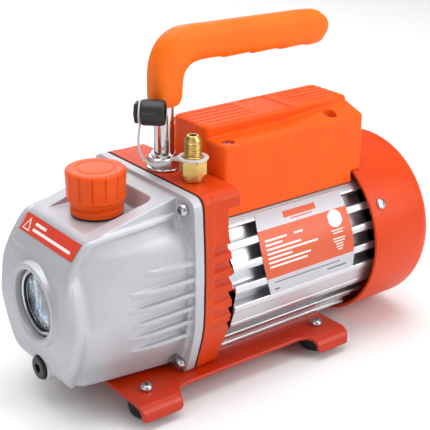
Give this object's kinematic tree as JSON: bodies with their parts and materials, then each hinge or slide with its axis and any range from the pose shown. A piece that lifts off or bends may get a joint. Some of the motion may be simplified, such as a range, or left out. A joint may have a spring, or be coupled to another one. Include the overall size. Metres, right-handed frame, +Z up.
{
  "type": "rotary vane vacuum pump",
  "caption": "Single-stage rotary vane vacuum pump: cast oil tank with sight glass, finned motor, fan cover, terminal box, grip handle, capped brass inlet.",
  "frame": {"origin": "middle of the footprint, on the surface that the feet stand on", "axes": "+X along the shaft from the oil tank to the fan cover, +Z up"},
  "size_m": [0.2858, 0.132, 0.2225],
  "materials": {
    "cast_aluminium": "satin, die cast and bead blasted",
    "body_paint": "semi-gloss orange powder coat",
    "plate_paint": "semi-gloss deep orange powder coat",
    "box_plastic": "satin orange moulding",
    "cap_plastic": "satin orange moulding",
    "grip_plastic": "satin orange moulding, soft sheen",
    "motor_aluminium": "bright extruded aluminium",
    "screw_steel": "zinc plated",
    "machined_steel": "ground",
    "chrome": "polished chrome plate",
    "iron": "machined cast iron and laminations",
    "brass": "turned brass",
    "copper": "enamelled copper wire",
    "rubber": "matt black",
    "black_plastic": "matt black moulding",
    "strap_plastic": "translucent white moulding",
    "glass": "clear, polished",
    "vane_composite": "carbon-filled phenolic",
    "rocker_plastic": "glossy red moulding"
  },
  "bodies": {
    "pump": {"base_plate": "plate_paint", "foot_front_left": "rubber", "foot_front_right": "rubber", "foot_rear_left": "rubber", "foot_rear_right": "rubber", "foot_screw_front_left": "screw_steel", "foot_screw_front_right": "screw_steel", "foot_screw_rear_left": "screw_steel", "foot_screw_rear_right": "screw_steel", "oil_tank": "cast_aluminium", "tank_gasket": "rubber", "tank_screw_upper_left": "screw_steel", "tank_screw_upper_right": "screw_steel", "tank_screw_lower_left": "screw_steel", "tank_screw_lower_right": "screw_steel", "sight_glass": "glass", "sight_glass_o_ring": "rubber", "sight_glass_ring": "chrome", "pump_body": "body_paint", "pump_cylinder": "iron", "pump_end_plate": "iron", "reed_stop": "machined_steel", "shaft_seal": "rubber", "bearing_front": "machined_steel", "bearing_rear": "machined_steel", "motor_housing": "motor_aluminium", "rear_bracket": "motor_aluminium", "stator_core": "iron", "stator_winding": "copper", "fan_cover": "body_paint", "fan_cover_screw_1": "screw_steel", "fan_cover_screw_2": "screw_steel", "fan_cover_screw_3": "screw_steel", "terminal_box_cover": "box_plastic", "box_screw_front_left": "screw_steel", "box_screw_front_right": "screw_steel", "box_screw_rear_left": "screw_steel", "box_screw_rear_right": "screw_steel", "capacitor": "black_plastic", "power_inlet": "black_plastic", "switch_frame": "black_plastic", "handle_post": "chrome", "handle_nut": "chrome", "handle_grip": "grip_plastic", "inlet_fitting": "brass"},
    "rotating": {"shaft": "machined_steel", "pump_rotor": "machined_steel", "motor_rotor": "iron", "fan": "black_plastic"},
    "vane_left": {"vane_left": "vane_composite"},
    "vane_right": {"vane_right": "vane_composite"},
    "reed": {"exhaust_reed": "machined_steel"},
    "fill_gasket": {"fill_cap_gasket": "rubber"},
    "fill_cap": {"fill_cap": "cap_plastic"},
    "drain_ring": {"drain_o_ring": "rubber"},
    "drain_plug": {"drain_plug": "black_plastic"},
    "tether": {"cap_tether": "strap_plastic"},
    "inlet_cap": {"inlet_cap": "black_plastic"},
    "rocker": {"switch_rocker": "rocker_plastic"}
  },
  "joints": [
    {"name": "shaft_spin", "type": "hinge", "parent": "pump", "child": "rotating", "pos_m": [0, 0, 0.064], "axis": [1, 0, 0], "continuous": true},
    {"name": "vane_left_slide", "type": "slide", "parent": "rotating", "child": "vane_left", "axis": [0, -1, 0], "range_m": [0, 0.0028]},
    {"name": "vane_right_slide", "type": "slide", "parent": "rotating", "child": "vane_right", "axis": [0, 1, 0], "range_m": [0, 0.0028]},
    {"name": "reed_flex", "type": "hinge", "parent": "pump", "child": "reed", "pos_m": [-0.0833, -0.007, 0.0926], "axis": [1, 0, 0], "range_deg": [0, 8], "stiffness_Nm_per_rad": 0.02},
    {"name": "fill_cap_lift", "type": "slide", "parent": "pump", "child": "fill_gasket", "axis": [0, 0, 1], "range_m": [0, 0.0091]},
    {"name": "fill_cap_turn", "type": "hinge", "parent": "fill_gasket", "child": "fill_cap", "pos_m": [-0.0943, 0, 0.1189], "axis": [0, 0, 1], "range_deg": [0, 1080]},
    {"name": "drain_out", "type": "slide", "parent": "pump", "child": "drain_ring", "axis": [-1, 0, 0], "range_m": [0, 0.006]},
    {"name": "drain_turn", "type": "hinge", "parent": "drain_ring", "child": "drain_plug", "pos_m": [-0.1373, 0, 0.0255], "axis": [-1, 0, 0], "range_deg": [0, 1445]},
    {"name": "tether_swivel", "type": "hinge", "parent": "pump", "child": "tether", "pos_m": [-0.0413, -0.026, 0.149], "axis": [0, 0, 1], "range_deg": [0, 150]},
    {"name": "inlet_cap_spin", "type": "hinge", "parent": "tether", "child": "inlet_cap", "pos_m": [-0.06441, -0.00445, 0.1765], "axis": [-0.7314, 0.682, 0], "continuous": true},
    {"name": "switch_rock", "type": "hinge", "parent": "pump", "child": "rocker", "pos_m": [0.0477, 0.0352, 0.134], "axis": [-1, 0, 0], "range_deg": [0, 14]}
  ],
  "couplings": [
    {"joint": "fill_cap_lift", "follows": "fill_cap_turn", "m_per_rad": 0.00047746},
    {"joint": "drain_turn", "follows": "drain_out", "rad_per_m": 4188.8}
  ]
}
